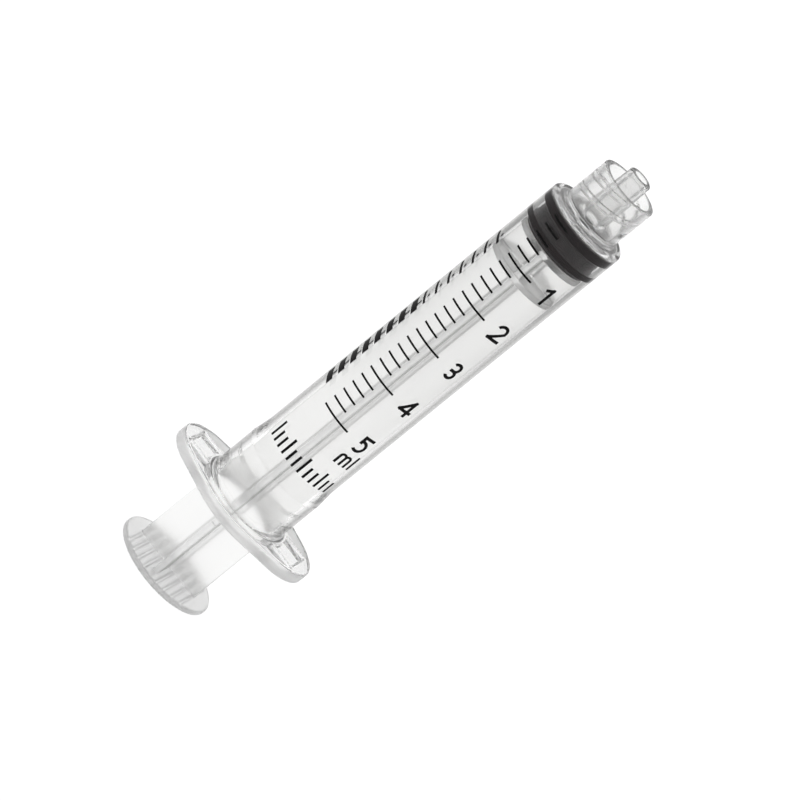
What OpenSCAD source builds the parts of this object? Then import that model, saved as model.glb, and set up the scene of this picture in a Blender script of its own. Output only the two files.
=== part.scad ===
// Disposable three-piece syringe with a threaded locking collar around its conical tip.
// It stands on its thumb plate with the tip up and the plunger pushed fully in.
// The origin is the centre of the thumb plate's rest face, +Z runs along the axis to the tip,
// +X along one wing of the finger flange, and the printed scale faces -Y. Millimetres.

/* [Barrel] */
// Inside diameter of the barrel
bore_d = 12.1; // [10:0.1:15]
// Thickness of the barrel's wall
wall = 0.85; // [0.6:0.05:1.2]
// Volume of the whole printed scale in millilitres
capacity = 5; // [3:1:6]
// Length of the barrel from the back of the flange to the last scale line
tail_l = 22.4; // [18:0.2:40]
// Thickness of the wall that closes the barrel at the tip end
front_wall = 0.8; // [0.6:0.1:1.5]
// Radius of the outside corner at the tip end
corner_r = 0.7; // [0.3:0.1:0.8]
// Extra wall near the flange, where the moulding is stiffened
flare_t = 0.3; // [0.1:0.05:0.6]
// Length of the stiffened stretch from the back of the flange
flare_l = 9.8; // [7:0.2:14]
// Height of the bead inside the open end that keeps the plunger in
bead_h = 0.12; // [0.05:0.01:0.2]
// Distance of the bead's middle from the back of the flange
bead_at = 6; // [4:0.2:9]

/* [Finger flange] */
// Distance between the tips of the two wings
flange_w = 27.6; // [24:0.2:34]
// Depth of the flange across its middle
flange_d = 19.8; // [17.6:0.2:24]
// Radius of each wing's round end
wing_r = 7; // [5:0.5:8]
// Thickness of the flange at its edge and ribs
flange_t = 2; // [1.6:0.1:3]
// Depth of the pockets moulded into the side that faces the tip
pocket_t = 0.8; // [0.4:0.1:1]
// Thickness of the two ribs on each wing and of the lip around it
rib_t = 0.9; // [0.6:0.1:1.2]
// Distance between the middles of a wing's two ribs
rib_pitch = 6.4; // [5:0.2:7]

/* [Locking collar and tip] */
// Inside diameter of the collar between its threads
collar_bore_d = 8.1; // [7.8:0.1:9.8]
// Thickness of the collar's wall
collar_wall = 0.9; // [0.7:0.05:1.1]
// Length of the collar from the barrel's front wall
collar_l = 7.5; // [6.8:0.1:9]
// Depth of the floor inside the collar below its rim
collar_depth = 7; // [6.4:0.1:8]
// Height of the collar's two thread ridges
thread_h = 0.5; // [0.3:0.05:0.6]
// Rise of a thread ridge in one turn
thread_lead = 5; // [4:0.5:6]
// Outside diameter of the conical tip at its end
tip_d = 3.96; // [3.6:0.02:4.4]
// How far the tip stands out of the collar
tip_reach = 2.2; // [1:0.1:4]
// Diameter of the channel through the tip
channel_d = 2.4; // [1:0.1:2.6]

/* [Plunger rod] */
// Distance from the rest face to the barrel's flange with the plunger pushed in
exposed_l = 14.8; // [10:0.2:24]
// Diameter of the thumb plate
plate_d = 17.25; // [15:0.25:24]
// Thickness of the thumb plate
plate_t = 1; // [0.8:0.1:2]
// Number of grip grooves across the thumb plate
groove_count = 9; // [5:2:11]
// Width of a grip groove
groove_w = 0.5; // [0.3:0.05:0.7]
// Depth of a grip groove
groove_h = 0.3; // [0.1:0.05:0.4]
// Thickness of the rod's crossed webs
web_t = 1; // [0.8:0.1:1.6]
// Radius of the fillets where the webs cross
root_r = 0.8; // [0.4:0.1:1.5]
// How much wider the foot of the rod is than the rest, on each side
foot_step = 0.3; // [0.1:0.05:0.6]
// Distance between the foot's top and the barrel's flange
foot_gap = 2.2; // [0.5:0.1:5]
// Thickness of the guide disc that meets the bead when the rod is drawn back
guide_t = 1; // [0.6:0.1:2]
// Distance between the guide disc and the disc behind the stopper
guide_at = 4.4; // [3:0.1:10]
// Thickness of the disc behind the stopper
backing_t = 0.9; // [0.6:0.1:2]
// Diameter of the round head that holds the stopper
head_d = 7.4; // [6:0.1:8]
// Diameter of the neck below the head
neck_d = 4.6; // [3:0.1:5.4]

/* [Stopper] */
// Length of the rubber stopper
stopper_l = 5.4; // [5:0.1:9]
// Length of each sealing ridge
ridge_l = 1.4; // [1:0.1:1.8]
// How much smaller the stopper is between its ridges, on each side
ridge_h = 0.22; // [0.15:0.01:0.5]

/* [Print] */
// Thickness of a scale line
line_t = 0.3; // [0.15:0.01:0.4]
// Height of a numeral along the barrel
numeral_h = 3.2; // [2.4:0.1:3.6]
// Stroke of a numeral
stroke_t = 0.5; // [0.25:0.05:0.5]
// Thickness of the printed ink
ink_t = 0.04; // [0.03:0.01:0.08]

/* [Hidden] */
$fn = 64;

// Clearances between pieces that move on each other.
seal_gap = 0.03;
disc_gap = 0.08;
web_gap = 0.13;
head_gap = 0.05;
stop_gap = 0.05;

bore_r = bore_d / 2;
outer_r = bore_r + wall;
flare_r = outer_r + flare_t;
flare_taper_l = 0.9;
ml_l = 1000 / (PI * pow(bore_r, 2));

// The zero line lies over the stopper's front ridge.
zero_inset = 0.9;
flange_z = exposed_l;
flange_top_z = flange_z + flange_t;
flare_end_z = flange_z + flare_l;
scale_end_z = flange_z + tail_l;
zero_z = scale_end_z + capacity * ml_l;
front_in_z = zero_z + zero_inset;
front_z = front_in_z + front_wall;
bead_z = flange_z + bead_at;
bead_half_l = 0.7;
bead_r = bore_r - bead_h;
mouth_chamfer = 0.3;
flange_fillet_r = 0.8;
cut_margin = 1;

collar_bore_r = collar_bore_d / 2;
collar_r = collar_bore_r + collar_wall;
collar_fillet_r = min(0.5, outer_r - corner_r - collar_r);
rim_r = 0.25;
rim_z = front_z + collar_l;
floor_z = rim_z - collar_depth;
tip_z = rim_z + tip_reach;
tip_r = tip_d / 2;
tip_edge_r = 0.4;
cone_taper = 0.03;
floor_fillet_r = 0.3;
channel_r = channel_d / 2;
cone_floor_r = tip_r + cone_taper * (tip_z - floor_z);

// Thread ridges: their roots are sunk into the collar's wall.
thread_sunk = 0.15;
thread_root_t = 1;
thread_crest_t = 0.45;
thread_turn = 330;
thread_top_gap = 0.8;
thread_start_a = -55;
thread_step_a = 10;
thread_fade_n = 4;

disc_r = bore_r - disc_gap;
web_w = 2 * (bead_r - web_gap);
foot_w = web_w + 2 * foot_step;
foot_z = flange_z - foot_gap;
stopper_z = front_in_z - stop_gap - stopper_l;
backing_top_z = stopper_z - head_gap;
backing_z = backing_top_z - backing_t;
guide_z = backing_z - guide_at - guide_t;
disc_edge_r = 0.2;
plate_edge_r = 0.35;
groove_pitch = 1.446;
neck_l = 1.3;
head_l = 2.2;
head_edge_r = 0.5;

ridge_r = bore_r - seal_gap;
body_r = ridge_r - ridge_h;
ridge_round_r = 0.35;
rear_l = 0.3;
front_edge_l = 0.35;
front_edge_drop = 0.5;

// Places on the barrel are degrees from -Y towards +X.
line_left_a = -27.4;
short_line_a = 25.4;
long_line_a = 44.6;
numeral_a = 43;
unit_a = 50;
unit_h = 2.7;
unit_z = scale_end_z - numeral_h / 2 - unit_h - 0.35;
stripe_a = -62;
stripe_n = 15;
bold_stripe_n = 8;
note_a = 10.6;
note_n = 12;
note_step_a = 9.6;
note_short_h = 2.1;
note_tall_h = 3;
note_z = (flare_end_z + flare_taper_l + unit_z - note_tall_h) / 2;
minor_per_ml = 5;
arc_steps = 10;

// Points on an arc, from angle a0 to a1.
function arc(cx, cy, r, a0, a1, n = arc_steps) =
    [for (i = [0:n]) let(a = a0 + (a1 - a0) * i / n) [cx + r * cos(a), cy + r * sin(a)]];

// Outline of the flange: a round middle joined by straight tangents to two round ends.
function wing_outline(w, d, r) =
    let(reach = w / 2 - r, lean = asin((d / 2 - r) / reach))
    concat(
        arc(reach, 0, r, lean - 90, 90 - lean, 16),
        arc(0, 0, d / 2, 90 - lean, 90 + lean, 8),
        arc(-reach, 0, r, 90 + lean, 270 - lean, 16),
        arc(0, 0, d / 2, 270 - lean, 270 + lean, 8)
    );

// Outside of the moulding as radius and height, from the flange to the end of the tip.
barrel_profile = concat(
    [[0, flange_z]],
    [[flare_r, flange_z]],
    [[flare_r + flange_fillet_r, flange_top_z - pocket_t]],
    [[flare_r + flange_fillet_r, flange_top_z]],
    arc(flare_r + flange_fillet_r, flange_top_z + flange_fillet_r, flange_fillet_r, 270, 180, 6),
    [[flare_r, flare_end_z]],
    [[outer_r, flare_end_z + flare_taper_l]],
    arc(outer_r - corner_r, front_z - corner_r, corner_r, 0, 90, 6),
    arc(collar_r + collar_fillet_r, front_z + collar_fillet_r, collar_fillet_r, 270, 180, 5),
    arc(collar_r - rim_r, rim_z - rim_r, rim_r, 0, 90, 4),
    arc(collar_bore_r + rim_r, rim_z - rim_r, rim_r, 90, 180, 4),
    [[collar_bore_r, floor_z]],
    arc(cone_floor_r + floor_fillet_r, floor_z + floor_fillet_r, floor_fillet_r, 270, 180, 4),
    arc(tip_r - tip_edge_r, tip_z - tip_edge_r, tip_edge_r, 0, 90, 5),
    [[0, tip_z]]
);

// Inside of the barrel: a chamfered mouth, the bead and the straight bore.
bore_profile = [
    [0, flange_z - cut_margin],
    [bore_r + mouth_chamfer, flange_z - cut_margin],
    [bore_r + mouth_chamfer, flange_z],
    [bore_r, flange_z + mouth_chamfer],
    [bore_r, bead_z - bead_half_l],
    [bead_r, bead_z - bead_half_l / 3],
    [bead_r, bead_z + bead_half_l / 3],
    [bore_r, bead_z + bead_half_l],
    [bore_r, front_in_z],
    [0, front_in_z]
];

// One ridge of the collar's two-start thread, as a swept trapezoid that fades out at its ends.
module thread_ridge(start_a) {
    n = thread_turn / thread_step_a;
    top_z = rim_z - thread_top_gap;
    root_r = collar_bore_r + thread_sunk;
    faded_r = collar_bore_r + thread_sunk / 2;
    crest_r = collar_bore_r - thread_h;
    points = [
        for (i = [0:n])
            let(
                a = start_a - i * thread_step_a,
                z = top_z - thread_lead * i * thread_step_a / 360,
                fade = min(1, min(i, n - i) / thread_fade_n),
                r = faded_r + (crest_r - faded_r) * fade
            )
            each [
                [root_r * cos(a), root_r * sin(a), z - thread_root_t / 2],
                [root_r * cos(a), root_r * sin(a), z + thread_root_t / 2],
                [r * cos(a), r * sin(a), z + thread_crest_t / 2],
                [r * cos(a), r * sin(a), z - thread_crest_t / 2]
            ]
    ];
    sides = [
        for (i = [0:n - 1])
            for (k = [0:3])
                let(p = 4 * i + k, q = 4 * i + (k + 1) % 4)
                each [[p, q + 4, q], [p, p + 4, q + 4]]
    ];
    ends = [[0, 1, 2, 3], [4 * n + 3, 4 * n + 2, 4 * n + 1, 4 * n]];
    polyhedron(points = points, faces = concat(sides, ends), convexity = 6);
}

// The flat oval flange, with pockets that leave two ribs and a lip on each wing.
module finger_flange() {
    pocket_z = flange_top_z - pocket_t;
    end_wall = 2.2;
    rib_half = rib_t / 2;
    difference() {
        translate([0, 0, flange_z])
            linear_extrude(flange_t)
                polygon(wing_outline(flange_w, flange_d, wing_r));
        translate([0, 0, pocket_z])
            linear_extrude(pocket_t + cut_margin)
                difference() {
                    polygon(wing_outline(flange_w - 2 * rib_t, flange_d - 2 * rib_t, wing_r - rib_t));
                    for (side = [-1, 1])
                        translate([-flange_w / 2, side * rib_pitch / 2 - rib_half])
                            square([flange_w, rib_t]);
                    for (side = [-1, 1])
                        translate([side * (flange_w / 2 - end_wall / 2), 0])
                            square([end_wall, rib_pitch], center = true);
                }
    }
}

module barrel() {
    color([0.86, 0.88, 0.88, 0.35])
        union() {
            difference() {
                union() {
                    rotate_extrude()
                        polygon(barrel_profile);
                    finger_flange();
                }
                rotate_extrude()
                    polygon(bore_profile);
                translate([0, 0, front_in_z - cut_margin])
                    cylinder(r = channel_r, h = tip_z - front_in_z + 2 * cut_margin);
            }
            thread_ridge(thread_start_a);
            thread_ridge(thread_start_a + 180);
        }
}

// Cross-shaped section of the rod, with fillets where the webs meet.
module cross_section(w) {
    root_at = web_t / 2 + root_r;
    square([w, web_t], center = true);
    square([web_t, w], center = true);
    difference() {
        square(2 * root_at, center = true);
        for (x = [-1, 1])
            for (y = [-1, 1])
                translate([x * root_at, y * root_at])
                    circle(r = root_r);
    }
}

// A disc with rounded edges that stands on z.
module round_disc(r, t, edge_r, z) {
    translate([0, 0, z])
        rotate_extrude()
            polygon(concat(
                [[0, 0]],
                arc(r - edge_r, edge_r, edge_r, 270, 360, 4),
                arc(r - edge_r, t - edge_r, edge_r, 0, 90, 4),
                [[0, t]]
            ));
}

// The thumb plate, grooved across its underside for grip.
module thumb_plate() {
    groove_l = 2 * plate_d;
    groove_half_n = (groove_count - 1) / 2;
    difference() {
        round_disc(plate_d / 2, plate_t, plate_edge_r, 0);
        intersection() {
            for (i = [-groove_half_n:groove_half_n])
                translate([i * groove_pitch - groove_w / 2, -groove_l / 2, -cut_margin])
                    cube([groove_w, groove_l, cut_margin + groove_h]);
            cylinder(r = plate_d / 2 - 2 * plate_edge_r, h = 4 * cut_margin, center = true);
        }
    }
}

module plunger_rod() {
    sink = 0.2;
    head_z = backing_top_z + neck_l;
    color([0.9, 0.91, 0.9, 0.6])
        union() {
            thumb_plate();
            translate([0, 0, plate_t - sink])
                linear_extrude(foot_z - plate_t + sink)
                    cross_section(foot_w);
            translate([0, 0, foot_z - sink])
                linear_extrude(backing_z - foot_z + 2 * sink)
                    cross_section(web_w);
            round_disc(disc_r, guide_t, disc_edge_r, guide_z);
            round_disc(disc_r, backing_t, disc_edge_r, backing_z);
            translate([0, 0, backing_top_z - sink])
                cylinder(d = neck_d, h = neck_l + 2 * sink);
            round_disc(head_d / 2, head_l, head_edge_r, head_z);
        }
}

// Rubber stopper: two sealing ridges outside, and inside a cavity that snaps over the rod's head.
module stopper() {
    front = stopper_z + stopper_l;
    front_ridge_z = front - front_edge_l - ridge_l;
    rear_ridge_z = stopper_z + rear_l;
    cavity_z = backing_top_z + neck_l - head_gap;
    cavity_r = head_d / 2 + head_gap;
    cavity_top_z = cavity_z + head_l + 2 * head_gap;
    cavity_edge = head_edge_r / 2;
    outline = concat(
        [[0, stopper_z - cut_margin]],
        [[body_r, stopper_z - cut_margin]],
        [[body_r, rear_ridge_z]],
        arc(ridge_r - ridge_round_r, rear_ridge_z + ridge_round_r, ridge_round_r, -60, 0, 3),
        arc(ridge_r - ridge_round_r, rear_ridge_z + ridge_l - ridge_round_r, ridge_round_r, 0, 60, 3),
        [[body_r, rear_ridge_z + ridge_l]],
        [[body_r, front_ridge_z]],
        arc(ridge_r - ridge_round_r, front_ridge_z + ridge_round_r, ridge_round_r, -60, 0, 3),
        [[ridge_r, front - front_edge_l]],
        [[ridge_r - front_edge_drop, front]],
        [[0, front]]
    );
    color([0.09, 0.08, 0.08])
        difference() {
            rotate_extrude()
                polygon(outline);
            translate([0, 0, stopper_z - 2 * cut_margin])
                cylinder(r = outer_r, h = 2 * cut_margin);
            translate([0, 0, stopper_z - cut_margin / 2])
                cylinder(r = neck_d / 2 + head_gap, h = cavity_z - stopper_z + cut_margin);
            rotate_extrude()
                polygon([
                    [0, cavity_z],
                    [cavity_r, cavity_z],
                    [cavity_r, cavity_top_z - cavity_edge],
                    [cavity_r - cavity_edge, cavity_top_z],
                    [0, cavity_top_z]
                ]);
        }
}

// Ink that follows the barrel: keeps what its flat children cover when seen along the radius
// at angle a, drawn with x around the barrel and y along it.
module printed(a, z) {
    intersection() {
        difference() {
            cylinder(r = outer_r + ink_t, h = tip_z);
            translate([0, 0, -cut_margin])
                cylinder(r = outer_r, h = tip_z + 2 * cut_margin);
        }
        rotate([0, 0, a])
            translate([0, 0, z])
                rotate([90, 0, 0])
                    linear_extrude(2 * outer_r)
                        children();
    }
}

// A straight stroke between two points, with square ends.
module stroke(p, q, t) {
    run = q - p;
    l = norm(run);
    translate(p)
        rotate(atan2(run[1], run[0]))
            translate([-t / 2, -t / 2])
                square([l + t, t]);
}

// A curved stroke around a centre.
module bend(c, r, a0, a1, t) {
    polygon(concat(arc(c[0], c[1], r + t / 2, a0, a1), arc(c[0], c[1], r - t / 2, a1, a0)));
}

// One ring of ink that runs from angle a over a span of degrees.
module scale_line(z, span) {
    translate([0, 0, z - line_t / 2])
        rotate_extrude(angle = span, start = line_left_a - 90)
            translate([outer_r, 0])
                square([ink_t, line_t]);
}

module scale_lines() {
    color([0.05, 0.05, 0.05])
        for (i = [0:capacity * minor_per_ml])
            scale_line(
                zero_z - i * ml_l / minor_per_ml,
                i > 0 && i % minor_per_ml == 0 ? long_line_a : short_line_a
            );
}

// Numeral n, drawn h tall with its foot at y = 0 and its middle at x = 0.
module numeral(n, h, t) {
    half = 0.3 * h;
    lo = t / 2;
    hi = h - t / 2;
    if (n == 1) {
        stroke([half / 3, lo], [half / 3, hi], t);
        stroke([half / 3, hi], [-half / 2, hi - half / 2], t);
    }
    if (n == 2) {
        r = half - t / 4;
        bend([0, hi - r], r, -20, 165, t);
        stroke([r * cos(20), hi - r - r * sin(20)], [-half, lo], t);
        stroke([-half, lo], [half, lo], t);
    }
    if (n == 3) {
        r = (hi - lo) / 4;
        bend([0, hi - r], r, -90, 150, t);
        bend([0, lo + r], r, -150, 90, t);
        stroke([-r / 2, lo + 2 * r], [0, lo + 2 * r], t);
    }
    if (n == 4) {
        stroke([half / 2, lo], [half / 2, hi], t);
        stroke([half / 2, hi], [-half, 0.3 * h], t);
        stroke([-half, 0.3 * h], [half, 0.3 * h], t);
    }
    if (n == 5) {
        r = 0.3 * h;
        stroke([half, hi], [-half / 2, hi], t);
        stroke([-half / 2, hi], [-half / 2, lo + 1.7 * r], t);
        bend([-half / 6, lo + r], r, -130, 110, t);
    }
    if (n == 6) {
        r = 0.3 * h;
        bend([0, lo + r], r, 0, 360, t);
        bend([1.6 * r, lo + r], 2.6 * r, 118, 180, t);
    }
}

module scale_numerals() {
    color([0.05, 0.05, 0.05])
        for (n = [1:capacity])
            printed(numeral_a, zero_z - n * ml_l - numeral_h / 2)
                numeral(n, numeral_h, stroke_t);
}

// The unit, millilitres, below the last numeral.
module unit_mark() {
    t = 0.8 * stroke_t;
    r = 0.17 * unit_h;
    arch_y = 0.7 * unit_h - r;
    color([0.05, 0.05, 0.05])
        printed(unit_a, unit_z)
            union() {
                for (x = [-4 * r, -2 * r, 0])
                    stroke([x, t / 2], [x, arch_y], t);
                for (x = [-3 * r, -r])
                    bend([x, arch_y], r, 0, 180, t);
                stroke([2 * r, t / 2], [2 * r, unit_h - t / 2], t);
            }
}

// Plain slanted stripes along the barrel: a bold group and a fine group.
module stripe_mark() {
    stripe_h = 2.6;
    slant = 0.7;
    bold_t = 1.2;
    fine_t = 0.45;
    step = (capacity - 1) * ml_l / stripe_n;
    color([0.05, 0.05, 0.05])
        for (i = [0:stripe_n - 1])
            let(t = i < bold_stripe_n ? bold_t : fine_t)
                printed(stripe_a, scale_end_z + step * (i + 0.5))
                    polygon([
                        [-stripe_h / 2, slant],
                        [stripe_h / 2, 0],
                        [stripe_h / 2, t],
                        [-stripe_h / 2, slant + t]
                    ]);
}

// Plain short strokes around the barrel below the scale.
module note_mark() {
    t = 0.8 * stroke_t;
    color([0.05, 0.05, 0.05])
        for (i = [0:note_n - 1])
            let(h = i % 3 == 0 ? note_tall_h : note_short_h)
                printed(note_a + (i - (note_n - 1) / 2) * note_step_a, note_z)
                    stroke([0, t / 2], [0, h - t / 2], t);
}

barrel();
plunger_rod();
stopper();
scale_lines();
scale_numerals();
unit_mark();
stripe_mark();
note_mark();
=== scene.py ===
import math

import bmesh
import bpy
import numpy as np
from mathutils import Matrix, Vector


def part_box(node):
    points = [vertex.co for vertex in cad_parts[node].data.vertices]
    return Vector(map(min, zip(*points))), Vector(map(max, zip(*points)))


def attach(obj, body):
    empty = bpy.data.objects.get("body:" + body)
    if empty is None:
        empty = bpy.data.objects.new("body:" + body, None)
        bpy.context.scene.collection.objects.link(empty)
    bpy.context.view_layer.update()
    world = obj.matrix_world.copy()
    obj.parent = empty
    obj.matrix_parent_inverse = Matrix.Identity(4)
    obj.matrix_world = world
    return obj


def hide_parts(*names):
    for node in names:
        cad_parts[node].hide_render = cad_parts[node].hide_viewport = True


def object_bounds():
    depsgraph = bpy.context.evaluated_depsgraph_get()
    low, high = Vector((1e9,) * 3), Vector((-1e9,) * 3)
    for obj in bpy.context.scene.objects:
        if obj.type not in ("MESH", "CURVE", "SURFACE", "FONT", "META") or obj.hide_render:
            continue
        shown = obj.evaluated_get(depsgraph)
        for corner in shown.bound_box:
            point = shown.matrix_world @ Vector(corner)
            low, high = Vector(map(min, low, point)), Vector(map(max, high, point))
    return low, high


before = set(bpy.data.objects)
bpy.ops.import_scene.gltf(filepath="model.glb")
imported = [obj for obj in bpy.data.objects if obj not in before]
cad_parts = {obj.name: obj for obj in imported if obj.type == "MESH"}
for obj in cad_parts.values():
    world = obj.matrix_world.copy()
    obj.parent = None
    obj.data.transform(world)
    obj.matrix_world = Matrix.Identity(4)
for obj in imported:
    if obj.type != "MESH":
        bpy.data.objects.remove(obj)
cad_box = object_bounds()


# ---- Camera ------------------------------------------------------------------------------
# A long lens looks slightly down on the standing syringe, a little from its right. The
# camera is rolled, so the barrel runs from the lower left to the upper right.

MM = 0.001
CAMERA_AZIMUTH = math.radians(3.6)
CAMERA_ELEVATION = math.radians(18.66)
CAMERA_ROLL = math.radians(50.85)
CAMERA_DISTANCE = 0.781
CAMERA_LENS = 248.1
CAMERA_NEAREST = 0.01
AIM_HEIGHT_SHARE = 0.478
AIM_TO_RIGHT = 2.77 * MM

object_low, object_high = (Vector(corner) for corner in cad_box)
object_height = object_high.z - object_low.z
toward_camera = Vector((
    math.sin(CAMERA_AZIMUTH) * math.cos(CAMERA_ELEVATION),
    -math.cos(CAMERA_AZIMUTH) * math.cos(CAMERA_ELEVATION),
    math.sin(CAMERA_ELEVATION),
))
level_right = Vector((math.cos(CAMERA_AZIMUTH), math.sin(CAMERA_AZIMUTH), 0))
level_up = toward_camera.cross(level_right)
frame_right = level_right * math.cos(CAMERA_ROLL) + level_up * math.sin(CAMERA_ROLL)
frame_up = level_up * math.cos(CAMERA_ROLL) - level_right * math.sin(CAMERA_ROLL)
aim = level_right * AIM_TO_RIGHT + Vector((0, 0, object_low.z + AIM_HEIGHT_SHARE * object_height))

camera = bpy.data.objects.new("camera", bpy.data.cameras.new("camera"))
camera.data.lens = CAMERA_LENS
camera.data.clip_start = CAMERA_NEAREST
turned = Matrix((frame_right, frame_up, toward_camera)).transposed().to_4x4()
camera.matrix_world = Matrix.Translation(aim + toward_camera * CAMERA_DISTANCE) @ turned
bpy.context.collection.objects.link(camera)
bpy.context.scene.camera = camera
bpy.context.scene.view_settings.view_transform = "Standard"


# ---- Table and light ---------------------------------------------------------------------
# A dark table carries the syringe, made white by painted light: its surface glows like a light
# table, which suits clear plastic and washes out the syringe's shadow. The glow fades to pale grey
# outside a long oval, and that grey draws the edges of the clear walls.

TABLE_REACH = 3.0
TABLE_DROP = 0.02 * MM
TABLE_COLOUR = (0.15, 0.15, 0.15, 1)
TABLE_ROUGHNESS = 0.6
TABLE_GLOW = (1.0, 1.0, 1.0, 1)
TABLE_EDGE_GLOW = (0.38, 0.38, 0.38, 1)
GLOW_STRENGTH = 0.93
LIT_MIDDLE = (-0.01, 0.27, 0)
LIT_HALF_SIZE = (0.13, 0.38, 1)
# The glow has faded at this many times the oval's size, which the shrunk gradient still holds.
FADE_OUT_AT = 1.36
GRADIENT_SCALE = 0.5
STUDIO_COLOUR = (0.9, 0.9, 0.9, 1)
STUDIO_STRENGTH = 0.64
WALL_CROSSINGS = 40


def new_material(name):
    made = bpy.data.materials.new(name)
    made.use_nodes = True
    tree = made.node_tree
    shader = tree.nodes["Principled BSDF"]
    return made, tree, shader


def object_position(tree):
    return tree.nodes.new("ShaderNodeTexCoord").outputs["Object"]


def colour_ramp(tree, share, low, low_colour, high, high_colour):
    """Blends from one colour to another while the share runs from low to high."""
    ramp = tree.nodes.new("ShaderNodeValToRGB")
    first, last = ramp.color_ramp.elements
    first.position = low
    first.color = low_colour
    last.position = high
    last.color = high_colour
    tree.links.new(share, ramp.inputs["Fac"])
    return ramp


def table_material():
    made, tree, shader = new_material("painted_glow_table")
    made.cycles.emission_sampling = "NONE"
    shader.inputs["Base Color"].default_value = TABLE_COLOUR
    shader.inputs["Roughness"].default_value = TABLE_ROUGHNESS
    # Painted light: the table glows, brightest in a long oval pool, instead of being lit white.
    shader.inputs["Emission Strength"].default_value = GLOW_STRENGTH
    placed = tree.nodes.new("ShaderNodeMapping")
    placed.vector_type = "TEXTURE"
    placed.inputs["Location"].default_value = LIT_MIDDLE
    placed.inputs["Scale"].default_value = LIT_HALF_SIZE
    tree.links.new(object_position(tree), placed.inputs["Vector"])
    shrunk = tree.nodes.new("ShaderNodeVectorMath")
    shrunk.operation = "SCALE"
    shrunk.inputs["Scale"].default_value = GRADIENT_SCALE
    tree.links.new(placed.outputs["Vector"], shrunk.inputs[0])
    pool = tree.nodes.new("ShaderNodeTexGradient")
    pool.gradient_type = "SPHERICAL"
    tree.links.new(shrunk.outputs["Vector"], pool.inputs["Vector"])
    dim_at = 1 - GRADIENT_SCALE * FADE_OUT_AT
    lit_at = 1 - GRADIENT_SCALE
    fade = colour_ramp(tree, pool.outputs["Fac"], dim_at, TABLE_EDGE_GLOW, lit_at, TABLE_GLOW)
    fade.color_ramp.interpolation = "EASE"
    tree.links.new(fade.outputs["Color"], shader.inputs["Emission Color"])
    return made


def flat_sheet(name, half_size, z):
    corners = [(-half_size, -half_size, z), (half_size, -half_size, z),
               (half_size, half_size, z), (-half_size, half_size, z)]
    mesh = bpy.data.meshes.new(name)
    mesh.from_pydata(corners, [], [(0, 1, 2, 3)])
    made = bpy.data.objects.new(name, mesh)
    bpy.context.collection.objects.link(made)
    return made


def soft_box(name, place, width, height, power):
    lamp = bpy.data.lights.new(name, "AREA")
    lamp.shape = "RECTANGLE"
    lamp.size = width
    lamp.size_y = height
    lamp.energy = power
    made = bpy.data.objects.new(name, lamp)
    made.location = place
    made.rotation_euler = (aim - Vector(place)).to_track_quat("-Z", "Y").to_euler()
    bpy.context.collection.objects.link(made)


table = flat_sheet("table", TABLE_REACH, object_low.z - TABLE_DROP)
table.data.materials.append(table_material())

studio = bpy.data.worlds.new("studio")
studio.use_nodes = True
studio.node_tree.nodes["Background"].inputs["Color"].default_value = STUDIO_COLOUR
studio.node_tree.nodes["Background"].inputs["Strength"].default_value = STUDIO_STRENGTH
bpy.context.scene.world = studio

soft_box("key_light", (-0.55, -0.35, 0.55), width=0.35, height=0.6, power=1.0)
soft_box("fill_light", (0.7, -0.2, 0.35), width=0.3, height=0.5, power=0.4)
soft_box("back_light", (0.1, 0.7, 0.5), width=0.8, height=0.3, power=0.6)

# Light crosses many thin walls before it leaves the syringe.
bpy.context.scene.cycles.max_bounces = WALL_CROSSINGS
bpy.context.scene.cycles.transmission_bounces = WALL_CROSSINGS
bpy.context.scene.cycles.glossy_bounces = WALL_CROSSINGS // 2


# ---- Barrel ------------------------------------------------------------------------------
# One injection moulding in clear polypropylene: the tube, the oval finger flange with its
# moulded pockets, the front wall, the threaded locking collar and the conical tip inside it.

# The tube and its flared foot, in millimetres like every size below.
BORE_R = 6.05
TUBE_R = 6.9
FLARE_R = 7.2
FLARE_L = 9.8
FLARE_TAPER_L = 2.4
TAPER_EASE_L = 0.3
TAPER_EASE_H = 0.03
RING_GAP = 0.05
FRONT_WALL = 0.8
FRONT_CORNER_R = 0.7
FRONT_INNER_R = 0.25
MOUTH_ROUND = 0.3
MOUTH_LAND = 0.4
SEAM_AT = 5.1
SEAM_UNDER_TAPER = 0.3
SEAM_H = 0.02
SEAM_W = 0.12
BEAD_H = 0.08
BEAD_AT = 6.0
BEAD_HALF_L = 1.2

# The finger flange and its pockets.
FLANGE_T = 2.0
FLANGE_HALF_W = 13.8
FLANGE_HALF_D = 9.9
WING_R = 7.0
FLANGE_FILLET_R = 0.8
FLANGE_EDGE_R = 0.3
FLANGE_RING_N = 40
POCKET_T = 0.8
POCKET_SLOPE = 0.45
RIB_T = 0.9
RIB_Y = 3.2
WING_END_T = 2.2

# The locking collar, its two thread ridges and the tip.
COLLAR_L = 7.5
COLLAR_DEPTH = 7.0
COLLAR_R = 4.95
COLLAR_BORE_R = 4.05
COLLAR_FILLET_R = 0.5
COLLAR_RING_N = 66
RIM_R = 0.25
THREAD_H = 0.5
THREAD_LEAD = 5.0
THREAD_ROOT_T = 1.0
THREAD_CREST_T = 0.45
THREAD_TURN = 330.0
THREAD_FADE = 40.0
THREAD_TOP_GAP = 0.8
THREAD_STARTS = (-55.0, 125.0)
TIP_REACH = 2.2
TIP_R = 1.98
TIP_EDGE_R = 0.4
TIP_TAPER = 0.03
CHANNEL_R = 1.2
CHANNEL_EDGE_R = 0.12

AROUND = 400
SHARP_FROM = math.radians(38)
HOLD_NEAR = 0.05
HOLD_FROM = 6 * HOLD_NEAR

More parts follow.
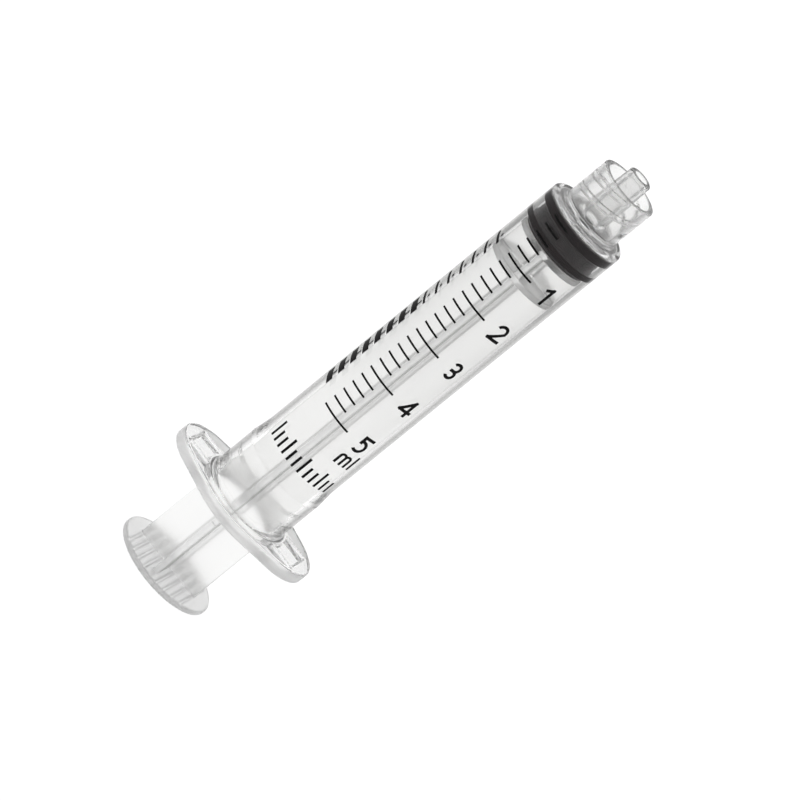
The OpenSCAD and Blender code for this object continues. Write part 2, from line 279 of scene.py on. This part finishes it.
barrel_low, barrel_high = (Vector(corner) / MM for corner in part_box("barrel"))
flange_z = barrel_low.z
flange_top_z = flange_z + FLANGE_T
tip_z = barrel_high.z
rim_z = tip_z - TIP_REACH
front_z = rim_z - COLLAR_L
front_in_z = front_z - FRONT_WALL
floor_z = rim_z - COLLAR_DEPTH
flare_end_z = flange_z + FLARE_L
bead_z = flange_z + BEAD_AT
around = np.radians(np.arange(AROUND) * 360 / AROUND)


def smooth_step(share):
    share = np.clip(share, 0, 1)
    return share * share * (3 - 2 * share)


def round_corner(centre_r, centre_z, r, start, end, steps):
    """Points along an arc from one angle to another, in degrees."""
    angles = np.radians(np.linspace(start, end, steps + 1))
    return [(centre_r + r * math.cos(a), centre_z + r * math.sin(a)) for a in angles]


def wing_geometry():
    reach = FLANGE_HALF_W - WING_R
    lean = math.acos((FLANGE_HALF_D - WING_R) / reach)
    return reach, lean


def wing_reach(angle):
    """How far the flange reaches from the axis in each direction."""
    reach, lean = wing_geometry()
    folded = np.arctan2(np.abs(np.sin(angle)), np.abs(np.cos(angle)))
    bend = math.atan2(WING_R * math.sin(lean), reach + WING_R * math.cos(lean))
    under_root = np.maximum(WING_R ** 2 - (reach * np.sin(folded)) ** 2, 0)
    end_circle = reach * np.cos(folded) + np.sqrt(under_root)
    straight = FLANGE_HALF_D / np.cos(folded - lean)
    return np.where(folded < bend, end_circle, np.where(folded < lean, straight, FLANGE_HALF_D))


def wing_inset(x, y):
    """How far a point on the flange lies inside its outline."""
    reach, lean = wing_geometry()
    x = np.abs(x)
    y = np.abs(y)
    from_middle = FLANGE_HALF_D - np.hypot(x, y)
    from_end = WING_R - np.hypot(x - reach, y)
    from_side = FLANGE_HALF_D - (x * math.cos(lean) + y * math.sin(lean))
    at_end = np.arctan2(y, x - reach) < lean
    at_middle = np.arctan2(y, x) > lean
    return np.where(at_middle, from_middle, np.where(at_end, from_end, from_side))


def pocket_share(x, y):
    """1 at the bottom of the flange's pockets, 0 on its lip, its ribs and its wing ends."""
    off_lip = wing_inset(x, y) - RIB_T
    off_tube = np.hypot(x, y) - (FLARE_R + FLANGE_FILLET_R)
    off_rib = np.abs(np.abs(y) - RIB_Y) - RIB_T / 2
    off_end = np.maximum(FLANGE_HALF_W - WING_END_T - np.abs(x), np.abs(y) - RIB_Y)
    clear = np.minimum(np.minimum(off_lip, off_tube), np.minimum(off_rib, off_end))
    return smooth_step(0.5 + clear / POCKET_SLOPE)


def thread_height(angle, z):
    """How far the two thread ridges stand in from the collar's bore."""
    tallest = np.zeros_like(angle)
    for start in THREAD_STARTS:
        run = np.mod(start - np.degrees(angle), 360)
        middle = rim_z - THREAD_TOP_GAP - THREAD_LEAD * run / 360
        fade = smooth_step(np.minimum(run, THREAD_TURN - run) / THREAD_FADE)
        slope = (THREAD_ROOT_T - THREAD_CREST_T) / 2
        side = smooth_step((THREAD_ROOT_T / 2 - np.abs(z - middle)) / slope)
        tallest = np.maximum(tallest, THREAD_H * fade * side)
    return tallest


def level_ring(r, z):
    """A ring of the barrel at one height; r is one radius, or one for each direction."""
    return np.full(AROUND, r), np.full(AROUND, z)


def plain_rings(profile):
    return [level_ring(r, z) for r, z in profile]


def flange_rings():
    """From the foot of the tube's fillet over the pockets and the edge to the back face."""
    foot_r = FLARE_R + FLANGE_FILLET_R
    edge_r = wing_reach(around)
    rings = []
    for i in range(1, FLANGE_RING_N + 1):
        r = foot_r + (edge_r - FLANGE_EDGE_R - foot_r) * i / FLANGE_RING_N
        depth = POCKET_T * pocket_share(r * np.cos(around), r * np.sin(around))
        rings.append((r, flange_top_z - depth))
    edge = round_corner(-FLANGE_EDGE_R, flange_top_z - FLANGE_EDGE_R, FLANGE_EDGE_R, 75, 0, 4)
    edge += round_corner(-FLANGE_EDGE_R, flange_z + FLANGE_EDGE_R, FLANGE_EDGE_R, 0, -90, 5)
    return rings + [level_ring(edge_r + r, z) for r, z in edge]


def collar_bore_rings():
    """Up the inside of the collar, over the thread ridges."""
    heights = np.linspace(floor_z + MOUTH_ROUND, rim_z - RIM_R, COLLAR_RING_N)
    return [level_ring(COLLAR_BORE_R - thread_height(around, z), z) for z in heights]


def witness_line(z):
    """The fine raised line that a joint in the mould leaves round the tube."""
    proud_r = FLARE_R + SEAM_H
    return [(FLARE_R, z + SEAM_W), (proud_r, z + SEAM_W / 3), (proud_r, z - SEAM_W / 3),
            (FLARE_R, z - SEAM_W)]


def inside_profile():
    """From the mouth up the bore, through the tip's channel and down to the collar's floor."""
    wall = [(BORE_R + MOUTH_ROUND + MOUTH_LAND, flange_z)]
    wall += round_corner(BORE_R + MOUTH_ROUND, flange_z + MOUTH_ROUND, MOUTH_ROUND, 270, 180, 4)
    wall += [(BORE_R, bead_z - BEAD_HALF_L)]
    wall += [(BORE_R - BEAD_H, bead_z - BEAD_HALF_L / 3)]
    wall += [(BORE_R - BEAD_H, bead_z + BEAD_HALF_L / 3)]
    wall += [(BORE_R, bead_z + BEAD_HALF_L)]
    wall += round_corner(BORE_R - FRONT_INNER_R, front_in_z - FRONT_INNER_R, FRONT_INNER_R, 0, 90, 4)
    channel_at = CHANNEL_R + CHANNEL_EDGE_R
    wall += round_corner(channel_at, front_in_z + CHANNEL_EDGE_R, CHANNEL_EDGE_R, 270, 180, 3)
    wall += round_corner(channel_at, tip_z - CHANNEL_EDGE_R, CHANNEL_EDGE_R, 180, 90, 3)
    wall += round_corner(TIP_R - TIP_EDGE_R, tip_z - TIP_EDGE_R, TIP_EDGE_R, 80, 0, 5)
    foot_at = TIP_R + TIP_TAPER * (tip_z - floor_z) + MOUTH_ROUND
    wall += round_corner(foot_at, floor_z + MOUTH_ROUND, MOUTH_ROUND, 180, 270, 4)
    wall += round_corner(COLLAR_BORE_R - MOUTH_ROUND, floor_z + MOUTH_ROUND, MOUTH_ROUND, 270, 350, 4)
    return wall


def outside_profile():
    """From the collar's rim down the outside to the fillet above the flange."""
    wall = round_corner(COLLAR_BORE_R + RIM_R, rim_z - RIM_R, RIM_R, 170, 90, 4)
    wall += round_corner(COLLAR_R - RIM_R, rim_z - RIM_R, RIM_R, 80, 0, 4)
    fillet_at = COLLAR_R + COLLAR_FILLET_R
    wall += round_corner(fillet_at, front_z + COLLAR_FILLET_R, COLLAR_FILLET_R, 180, 270, 5)
    wall += round_corner(TUBE_R - FRONT_CORNER_R, front_z - FRONT_CORNER_R, FRONT_CORNER_R, 90, 0, 8)
    wall += [(TUBE_R, flare_end_z + FLARE_TAPER_L + TAPER_EASE_L)]
    wall += [(TUBE_R + TAPER_EASE_H, flare_end_z + FLARE_TAPER_L - RING_GAP)]
    wall += [(FLARE_R - TAPER_EASE_H, flare_end_z + RING_GAP)]
    wall += witness_line(flare_end_z - SEAM_UNDER_TAPER)
    wall += witness_line(flange_z + SEAM_AT)
    foot_at = FLARE_R + FLANGE_FILLET_R
    wall += round_corner(foot_at, flange_top_z + FLANGE_FILLET_R, FLANGE_FILLET_R, 180, 270, 8)
    return wall


def barrel_rings():
    inside = plain_rings(inside_profile()) + collar_bore_rings()
    return inside + plain_rings(outside_profile()) + flange_rings()


def hold_edges(rings, closed):
    """Adds a ring close to both ends of each long stretch, so that its shading stays flat."""
    following_rings = rings[1:] + (rings[:1] if closed else [])
    held = []
    for ring, following in zip(rings, following_rings):
        ring = np.array(ring, dtype=float)
        step = np.array(following, dtype=float) - ring
        held.append(ring)
        length = np.mean(np.linalg.norm(step, axis=0))
        if length > HOLD_FROM:
            near = HOLD_NEAR / length
            held += [ring + step * near, ring + step * (1 - near)]
    return held if closed else held + [np.array(rings[-1], dtype=float)]


def link_mesh(name, points, faces):
    mesh = bpy.data.meshes.new(name)
    mesh.from_pydata([(x * MM, y * MM, z * MM) for x, y, z in points], [], faces)
    tidy = bmesh.new()
    tidy.from_mesh(mesh)
    bmesh.ops.recalc_face_normals(tidy, faces=tidy.faces)
    tidy.to_mesh(mesh)
    tidy.free()
    mesh.shade_smooth()
    mesh.set_sharp_from_angle(angle=SHARP_FROM)
    made = bpy.data.objects.new(name, mesh)
    bpy.context.collection.objects.link(made)
    return made


def turned_ring_mesh(name, rings):
    """A closed surface through rings that start and end beside each other."""
    points = []
    for r, z in rings:
        points += list(zip(r * np.cos(around), r * np.sin(around), z))
    faces = []
    for i in range(len(rings)):
        low = i * AROUND
        high = (i + 1) % len(rings) * AROUND
        for k in range(AROUND):
            n = (k + 1) % AROUND
            faces.append((low + k, low + n, high + n, high + k))
    return link_mesh(name, points, faces)


# Clear moulded plastic is never quite even: it has slow waves from the mould's cooling and
# a trace of haze. Both come out of this group, which every other material here uses too.
WAVE_DETAIL = 1.0
GRAIN_DETAIL = 3.0
GRAIN_RELIEF_SHARE = 0.08


def moulded_surface_group():
    tree = bpy.data.node_groups.new("moulded_surface", "ShaderNodeTree")
    for given_name in ("Haze", "Haze Spread", "Wave Scale", "Grain Scale"):
        tree.interface.new_socket(given_name, in_out="INPUT", socket_type="NodeSocketFloat")
    for result_name in ("Roughness", "Height"):
        tree.interface.new_socket(result_name, in_out="OUTPUT", socket_type="NodeSocketFloat")
    given = tree.nodes.new("NodeGroupInput")
    result = tree.nodes.new("NodeGroupOutput")
    place = object_position(tree)
    wave = tree.nodes.new("ShaderNodeTexNoise")
    wave.inputs["Detail"].default_value = WAVE_DETAIL
    tree.links.new(place, wave.inputs["Vector"])
    tree.links.new(given.outputs["Wave Scale"], wave.inputs["Scale"])
    grain = tree.nodes.new("ShaderNodeTexNoise")
    grain.inputs["Detail"].default_value = GRAIN_DETAIL
    tree.links.new(place, grain.inputs["Vector"])
    tree.links.new(given.outputs["Grain Scale"], grain.inputs["Scale"])
    spread = tree.nodes.new("ShaderNodeMath")
    spread.operation = "MULTIPLY_ADD"
    tree.links.new(grain.outputs["Fac"], spread.inputs[0])
    tree.links.new(given.outputs["Haze Spread"], spread.inputs[1])
    tree.links.new(given.outputs["Haze"], spread.inputs[2])
    tree.links.new(spread.outputs["Value"], result.inputs["Roughness"])
    mixed = tree.nodes.new("ShaderNodeMath")
    mixed.operation = "MULTIPLY_ADD"
    mixed.inputs[1].default_value = GRAIN_RELIEF_SHARE
    tree.links.new(grain.outputs["Fac"], mixed.inputs[0])
    tree.links.new(wave.outputs["Fac"], mixed.inputs[2])
    tree.links.new(mixed.outputs["Value"], result.inputs["Height"])
    return tree


moulded_surface = moulded_surface_group()


def add_moulding(tree, shader, haze, haze_spread, wave_scale, grain_scale, relief):
    """Feeds a material's roughness and bump from the moulded surface; relief is in metres."""
    surface = tree.nodes.new("ShaderNodeGroup")
    surface.node_tree = moulded_surface
    surface.inputs["Haze"].default_value = haze
    surface.inputs["Haze Spread"].default_value = haze_spread
    surface.inputs["Wave Scale"].default_value = wave_scale
    surface.inputs["Grain Scale"].default_value = grain_scale
    bump = tree.nodes.new("ShaderNodeBump")
    bump.inputs["Distance"].default_value = relief
    tree.links.new(surface.outputs["Roughness"], shader.inputs["Roughness"])
    tree.links.new(surface.outputs["Height"], bump.inputs["Height"])
    tree.links.new(bump.outputs["Normal"], shader.inputs["Normal"])


# The edge colours are painted shade: they darken the plastic's colour toward its silhouettes.
CLEAR_TINT = (0.998, 0.998, 0.995, 1)
CLEAR_PAINTED_EDGE_SHADE = (0.16, 0.16, 0.155, 1)
CLOUDY_PAINTED_EDGE_SHADE = (0.78, 0.78, 0.77, 1)
WALL_SLANT = (0.42, 0.62)
EDGE_SLANT = (0.74, 0.92)
PLASTIC_IOR = 1.49


def paint_shade_toward_edges(tree, shader, tint, painted_edge_shade, slant):
    """Paints shade into the plastic's colour, darker where it is looked through at a slant."""
    start, end = slant
    facing = tree.nodes.new("ShaderNodeLayerWeight").outputs["Facing"]
    shade = colour_ramp(tree, facing, start, tint, end, painted_edge_shade)
    tree.links.new(shade.outputs["Color"], shader.inputs["Base Color"])


def clear_plastic(name, painted_edge_shade, slant, clarity, haze):
    made, tree, shader = new_material(name)
    paint_shade_toward_edges(tree, shader, CLEAR_TINT, painted_edge_shade, slant)
    shader.inputs["Transmission Weight"].default_value = clarity
    shader.inputs["IOR"].default_value = PLASTIC_IOR
    add_moulding(tree, shader, haze, haze_spread=0.03, wave_scale=160, grain_scale=900,
                 relief=0.02 * MM)
    return made


BARREL_FINISHES = (
    clear_plastic("clear_polypropylene", CLEAR_PAINTED_EDGE_SHADE, WALL_SLANT, clarity=1, haze=0.015),
    # The bore's plastic is the same clear plastic, only without the painted edge shade.
    clear_plastic("bore_without_edge_shade", CLEAR_TINT, WALL_SLANT, clarity=1, haze=0.015),
    clear_plastic("cloudy_polypropylene", CLOUDY_PAINTED_EDGE_SHADE, EDGE_SLANT, clarity=0.94, haze=0.12),
    clear_plastic("matt_polypropylene", CLOUDY_PAINTED_EDGE_SHADE, EDGE_SLANT, clarity=0.6, haze=0.4),
)
UNSHADED_BORE, CLOUDY, MATT = 1, 2, 3  # places in BARREL_FINISHES
FRONT_CLOUD_L = 0.3
SURFACE_MARGIN = 0.05


def sort_finishes(piece):
    """The thick ends look cloudier, the flange's edge is matt, and the bore is left without the painted
    edge shade.
    """
    for face in piece.data.polygons:
        x, y, z = (distance / MM for distance in face.center)
        r = math.hypot(x, y)
        if wing_inset(x, y) < FLANGE_EDGE_R / 2 and z < flange_top_z:
            face.material_index = MATT
        elif z > front_in_z - FRONT_CLOUD_L or z < flange_top_z or r > FLARE_R + SURFACE_MARGIN:
            face.material_index = CLOUDY
        elif r < BORE_R + SURFACE_MARGIN:
            face.material_index = UNSHADED_BORE


barrel = turned_ring_mesh("barrel_moulding", hold_edges(barrel_rings(), closed=True))
for finish in BARREL_FINISHES:
    barrel.data.materials.append(finish)
sort_finishes(barrel)
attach(barrel, "barrel_body")
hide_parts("barrel")


# ---- Print -------------------------------------------------------------------------------
# Black pad-printed ink on the outside of the tube. The scale, its numerals, the unit and the
# two plain marks keep their modelled shapes; the ink is slightly uneven, as pads leave it.

INK_DARK = (0.002, 0.002, 0.002, 1)
INK_THIN = (0.009, 0.008, 0.009, 1)
INK_GLOSS = 0.08


def uneven_colour(tree, shader, scale, detail, low, low_colour, high, high_colour):
    """Lets noise of one scale move a surface between two colours."""
    spots = tree.nodes.new("ShaderNodeTexNoise")
    spots.inputs["Scale"].default_value = scale
    spots.inputs["Detail"].default_value = detail
    tree.links.new(object_position(tree), spots.inputs["Vector"])
    shade = colour_ramp(tree, spots.outputs["Fac"], low, low_colour, high, high_colour)
    tree.links.new(shade.outputs["Color"], shader.inputs["Base Color"])


def printed_ink():
    made, tree, shader = new_material("pad_printed_ink")
    uneven_colour(tree, shader, scale=2600, detail=4, low=0.35, low_colour=INK_DARK, high=0.75,
                  high_colour=INK_THIN)
    shader.inputs["Specular IOR Level"].default_value = INK_GLOSS
    add_moulding(tree, shader, haze=0.38, haze_spread=0.2, wave_scale=900, grain_scale=4000,
                 relief=0.004 * MM)
    return made


ink = printed_ink()
for print_name in ("scale_lines", "scale_numerals", "unit_mark", "stripe_mark", "note_mark"):
    printed_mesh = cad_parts[print_name].data
    printed_mesh.materials.clear()
    printed_mesh.materials.append(ink)


# ---- Plunger rod -------------------------------------------------------------------------
# One injection moulding in milky polypropylene: a rod of two crossed webs with a grooved
# thumb plate at its foot, two guide discs near its top, and the head that holds the stopper.

# The thumb plate and the grip grooves under it.
PLATE_R = 8.625
PLATE_T = 1.0
PLATE_EDGE_R = 0.35
GROOVE_PITCH = 1.446
GROOVE_N = 9
GROOVE_HALF_W = 0.25
GROOVE_H = 0.3
GROOVE_RING_R = 7.925
GROOVE_END_SLOPE = 0.35
# How far in from a groove's edge its side has risen to which share of its height.
GROOVE_SIDE = ((-0.05, 0), (0, 0.15), (0.06, 0.85), (0.12, 1))
# Directions, in degrees, of the plain lines outside the grooves.
OUTER_TURNS = range(6, 40, 6)
OUTER_GAP = 0.1
FULL_TURN = 2 * math.pi
PAST_FULL_TURN = FULL_TURN + 0.001

# The crossed webs. They are wider between the thumb plate and the flange.
WEB_HALF_T = 0.5
WEB_HALF_W = 5.8
WEB_EDGE_R = 0.16
ROOT_R = 0.8
FOOT_HALF_W = 6.1
FOOT_GAP = 2.2
FOOT_CHAMFER = 0.1

# The discs, the neck and the head.
DISC_R = 5.97
DISC_EDGE_R = 0.2
GUIDE_T = 1.0
GUIDE_AT = 4.4
BACKING_T = 0.9
NECK_R = 2.3
NECK_L = 1.3
HEAD_R = 3.7
HEAD_L = 2.2
HEAD_EDGE_R = 0.5

# Where a web meets a plate or a disc, it thickens in two steps.
JOIN_R = 0.22
JOIN_STEP_T = JOIN_R * 0.35
JOIN_STEP_L = JOIN_STEP_T * 0.4
JOIN_STEP_SHARE = 0.3
DISC_EDGE_GAP = 0.02
FOOT_END_HALF_W = FOOT_HALF_W + JOIN_R
WEB_END_HALF_W = DISC_R - DISC_EDGE_R - DISC_EDGE_GAP

ROD_AROUND = 192
EDGE_STEPS = 4
END_STEPS = 3
SIDE_STEPS = 9

rod_low, rod_high = (Vector(corner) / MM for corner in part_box("plunger_rod"))
plate_z = rod_low.z
head_top_z = rod_high.z
head_z = head_top_z - HEAD_L
backing_top_z = head_z - NECK_L
backing_z = backing_top_z - BACKING_T
guide_z = backing_z - GUIDE_AT - GUIDE_T
foot_z = flange_z - FOOT_GAP


def circle_ring(r, z):
    angles = np.radians(np.arange(ROD_AROUND) * 360 / ROD_AROUND)
    return [(r * math.cos(a), r * math.sin(a), z) for a in angles]


def cross_ring(half_w, half_t, z):
    """The outline of the crossed webs, with rounded web edges and fillets at the roots."""
    edge_at = half_w - WEB_EDGE_R
    root_at = half_t + ROOT_R
    side_run = edge_at - root_at
    eighth = [(half_w, (half_t - WEB_EDGE_R) * i / END_STEPS) for i in range(END_STEPS)]
    eighth += round_corner(edge_at, half_t - WEB_EDGE_R, WEB_EDGE_R, 0, 90, EDGE_STEPS)
    eighth += [(edge_at - side_run * i / SIDE_STEPS, half_t) for i in range(1, SIDE_STEPS)]
    root_steps = ROD_AROUND // 8 - len(eighth)
    eighth += round_corner(root_at, root_at, ROOT_R, 270, 225, root_steps)
    quarter = eighth + [(y, x) for x, y in reversed(eighth[1:-1])]
    ring = []
    for turn in range(4):
        a = turn * math.pi / 2
        ring += [(x * math.cos(a) - y * math.sin(a), x * math.sin(a) + y * math.cos(a), z)
                 for x, y in quarter]
    return ring


def disc_rings(r, edge_r, low_z, top_z):
    profile = round_corner(r - edge_r, low_z + edge_r, edge_r, 270, 360, 4)
    profile += round_corner(r - edge_r, top_z - edge_r, edge_r, 0, 90, 4)
    return [circle_ring(*point) for point in profile]


def web_join_rings(half_w, end_half_w, end_z, inward):
    """From a plate or a disc to where the webs have their own size; inward is 1 for up."""
    step_half_w = half_w + (end_half_w - half_w) * JOIN_STEP_SHARE
    return [
        cross_ring(end_half_w, WEB_HALF_T + JOIN_R, end_z),
        cross_ring(step_half_w, WEB_HALF_T + JOIN_STEP_T, end_z + inward * JOIN_STEP_L),
        cross_ring(half_w, WEB_HALF_T, end_z + inward * JOIN_R),
    ]


def rod_rings():
    rings = disc_rings(PLATE_R, PLATE_EDGE_R, plate_z, plate_z + PLATE_T)
    rings += web_join_rings(FOOT_HALF_W, FOOT_END_HALF_W, plate_z + PLATE_T, 1)
    rings.append(cross_ring(FOOT_HALF_W, WEB_HALF_T, foot_z - FOOT_CHAMFER))
    rings.append(cross_ring(FOOT_HALF_W - FOOT_CHAMFER, WEB_HALF_T, foot_z))
    rings.append(cross_ring(WEB_HALF_W, WEB_HALF_T, foot_z))
    rings += reversed(web_join_rings(WEB_HALF_W, WEB_END_HALF_W, guide_z, -1))
    rings += disc_rings(DISC_R, DISC_EDGE_R, guide_z, guide_z + GUIDE_T)
    rings += web_join_rings(WEB_HALF_W, WEB_END_HALF_W, guide_z + GUIDE_T, 1)
    rings += reversed(web_join_rings(WEB_HALF_W, WEB_END_HALF_W, backing_z, -1))
    rings += disc_rings(DISC_R, DISC_EDGE_R, backing_z, backing_top_z)
    rings += [circle_ring(NECK_R, backing_top_z), circle_ring(NECK_R, head_z)]
    rings += disc_rings(HEAD_R, HEAD_EDGE_R, head_z, head_top_z)
    return rings


def groove_lines():
    """(x, height) across the plate's underside: nine grooves with sloped sides."""
    lines = []
    for i in range(GROOVE_N):
        middle = (i - (GROOVE_N - 1) / 2) * GROOVE_PITCH
        for inward, share in GROOVE_SIDE:
            lines.append((middle - GROOVE_HALF_W + inward, share * GROOVE_H))
        for inward, share in reversed(GROOVE_SIDE):
            lines.append((middle + GROOVE_HALF_W - inward, share * GROOVE_H))
    last_x = lines[-1][0]
    outer = [GROOVE_RING_R * math.cos(math.radians(turn)) for turn in OUTER_TURNS]
    outer = [x for x in outer if x > last_x + OUTER_GAP]
    return [(-x, 0) for x in outer] + lines + [(x, 0) for x in reversed(outer)]


def groove_columns(points):
    """Adds four points along each groove line; the ends slope down to the plate."""
    columns = []
    for x, height in groove_lines():
        end = math.sqrt(GROOVE_RING_R ** 2 - x * x)
        slope = min(GROOVE_END_SLOPE, end / 3)
        column = []
        for y, share in ((-end, 0), (-end + slope, 1), (end - slope, 1), (end, 0)):
            column.append(len(points))
            points.append((x, y, plate_z + height * share))
        columns.append(column)
    return columns


def add_grooved_underside(points, faces):
    """Fills the plate's underside with the grooves, up to the plate's first ring."""
    columns = groove_columns(points)
    for left, right in zip(columns, columns[1:]):
        for k in range(3):
            faces.append((left[k], right[k], right[k + 1], left[k + 1]))

    def turn_of(index):
        x, y, _ = points[index]
        return math.atan2(y, x) % FULL_TURN

    rim = list(range(ROD_AROUND))
    loop = [column[0] for column in columns] + [column[3] for column in columns]
    loop += columns[0][1:3] + columns[-1][1:3]
    loop.sort(key=turn_of)
    i = j = 0
    while i < len(rim) or j < len(loop):
        rim_next = turn_of(rim[i + 1]) if i + 1 < len(rim) else FULL_TURN
        loop_next = turn_of(loop[j + 1]) if j + 1 < len(loop) else PAST_FULL_TURN
        if i < len(rim) and (rim_next <= loop_next or j >= len(loop)):
            faces.append((rim[i], rim[(i + 1) % len(rim)], loop[j % len(loop)]))
            i += 1
        else:
            faces.append((rim[i % len(rim)], loop[(j + 1) % len(loop)], loop[j]))
            j += 1


def rod_mesh():
    rings = hold_edges([np.transpose(ring) for ring in rod_rings()], closed=False)
    points = [tuple(point) for ring in rings for point in np.transpose(ring)]
    faces = []
    for i in range(len(rings) - 1):
        low = i * ROD_AROUND
        high = low + ROD_AROUND
        for k in range(ROD_AROUND):
            n = (k + 1) % ROD_AROUND
            faces.append((low + k, low + n, high + n, high + k))
    faces.append(tuple(range((len(rings) - 1) * ROD_AROUND, len(rings) * ROD_AROUND)))
    add_grooved_underside(points, faces)
    return link_mesh("plunger_rod_moulding", points, faces)


MILKY_TINT = (0.91, 0.91, 0.905, 1)
# Painted shade: the rod's colour darkens toward this where it is seen at a slant.
MILKY_PAINTED_EDGE_SHADE = (0.4, 0.4, 0.39, 1)


def milky_plastic():
    made, tree, shader = new_material("milky_polypropylene")
    paint_shade_toward_edges(tree, shader, MILKY_TINT, MILKY_PAINTED_EDGE_SHADE, EDGE_SLANT)
    shader.inputs["Transmission Weight"].default_value = 1
    shader.inputs["IOR"].default_value = PLASTIC_IOR
    add_moulding(tree, shader, haze=0.26, haze_spread=0.06, wave_scale=220, grain_scale=700,
                 relief=0.003 * MM)
    return made


rod = rod_mesh()
rod.data.materials.append(milky_plastic())
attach(rod, "rod")
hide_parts("plunger_rod")


# ---- Stopper -----------------------------------------------------------------------------
# One moulding in black latex-free rubber, snapped over the rod's head. Its two ridges are
# squeezed against the bore, so they press flat on the barrel's wall, wet with silicone oil.

SQUEEZE = 0.02
RIDGE_R = BORE_R + SQUEEZE
RIDGE_L = 1.4
RIDGE_ROUND_R = 0.3
RIDGE_FOOT_L = 0.1
REAR_RIDGE_AT = 0.4
WAIST_R = 5.8
BACK_EDGE_R = 0.2
FRONT_GAP = 0.02
FRONT_EDGE_R = 0.45
FRONT_OVERLAP = 0.05
CAVITY_GAP = 0.05
CAVITY_CHAMFER = 0.3

stopper_low = Vector(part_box("stopper")[0]) / MM
stopper_back_z = stopper_low.z
stopper_front_z = front_in_z - FRONT_GAP


def ridge_rise(low_z):
    """From the stopper's waist out to the crest of a ridge."""
    centre_z = low_z + RIDGE_ROUND_R
    rise = round_corner(RIDGE_R - RIDGE_ROUND_R, centre_z, RIDGE_ROUND_R, -60, 0, 4)
    return [(WAIST_R, low_z - RIDGE_FOOT_L)] + rise


def ridge_fall(low_z):
    """From the crest of a ridge back to the stopper's waist."""
    centre_z = low_z + RIDGE_L - RIDGE_ROUND_R
    fall = round_corner(RIDGE_R - RIDGE_ROUND_R, centre_z, RIDGE_ROUND_R, 0, 60, 4)
    return fall + [(WAIST_R, low_z + RIDGE_L + RIDGE_FOOT_L)]


def stopper_profile():
    """Down the cavity for the rod's head, round the back edge and up over both ridges."""
    neck_r = NECK_R + CAVITY_GAP
    cavity_r = HEAD_R + CAVITY_GAP
    cavity_z = head_z - CAVITY_GAP
    cavity_top_z = head_top_z + CAVITY_GAP
    rear_ridge_z = stopper_back_z + REAR_RIDGE_AT
    front_ridge_z = stopper_front_z - FRONT_EDGE_R - RIDGE_L + FRONT_OVERLAP
    profile = [(0, cavity_top_z), (cavity_r - CAVITY_CHAMFER, cavity_top_z)]
    profile += [(cavity_r, cavity_top_z - CAVITY_CHAMFER), (cavity_r, cavity_z)]
    profile += [(neck_r, cavity_z), (neck_r, stopper_back_z)]
    profile += round_corner(WAIST_R - BACK_EDGE_R, stopper_back_z + BACK_EDGE_R, BACK_EDGE_R, 270, 360, 4)
    profile += ridge_rise(rear_ridge_z) + ridge_fall(rear_ridge_z) + ridge_rise(front_ridge_z)
    front_at = RIDGE_R - FRONT_EDGE_R
    profile += round_corner(front_at, stopper_front_z - FRONT_EDGE_R, FRONT_EDGE_R, 0, 90, 6)
    profile += [(0, stopper_front_z)]
    return profile


def turned_solid(name, profile, directions):
    """A closed turned surface whose profile starts and ends on the axis."""
    points = [(0, 0, profile[0][1])]
    for r, z in profile[1:-1]:
        points += [(r * math.cos(a), r * math.sin(a), z) for a in directions]
    points.append((0, 0, profile[-1][1]))
    count = len(directions)
    last = len(points) - 1
    faces = []
    for k in range(count):
        n = (k + 1) % count
        faces.append((0, 1 + n, 1 + k))
        faces.append((last, last - count + k, last - count + n))
        for i in range(len(profile) - 3):
            low = 1 + i * count
            faces.append((low + k, low + n, low + count + n, low + count + k))
    return link_mesh(name, points, faces)


RUBBER_DARK = (0.010, 0.004, 0.005, 1)
RUBBER_LIGHT = (0.022, 0.010, 0.012, 1)
RUBBER_GLOSS = 0.06


def black_rubber():
    made, tree, shader = new_material("black_rubber")
    uneven_colour(tree, shader, scale=700, detail=5, low=0.4, low_colour=RUBBER_DARK, high=0.8,
                  high_colour=RUBBER_LIGHT)
    shader.inputs["Specular IOR Level"].default_value = RUBBER_GLOSS
    add_moulding(tree, shader, haze=0.32, haze_spread=0.15, wave_scale=500, grain_scale=3000,
                 relief=0.012 * MM)
    return made


held_profile = hold_edges(stopper_profile(), closed=False)
stopper = turned_solid("stopper_moulding", held_profile, around[::2])
stopper.data.materials.append(black_rubber())
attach(stopper, "seal")
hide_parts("stopper")
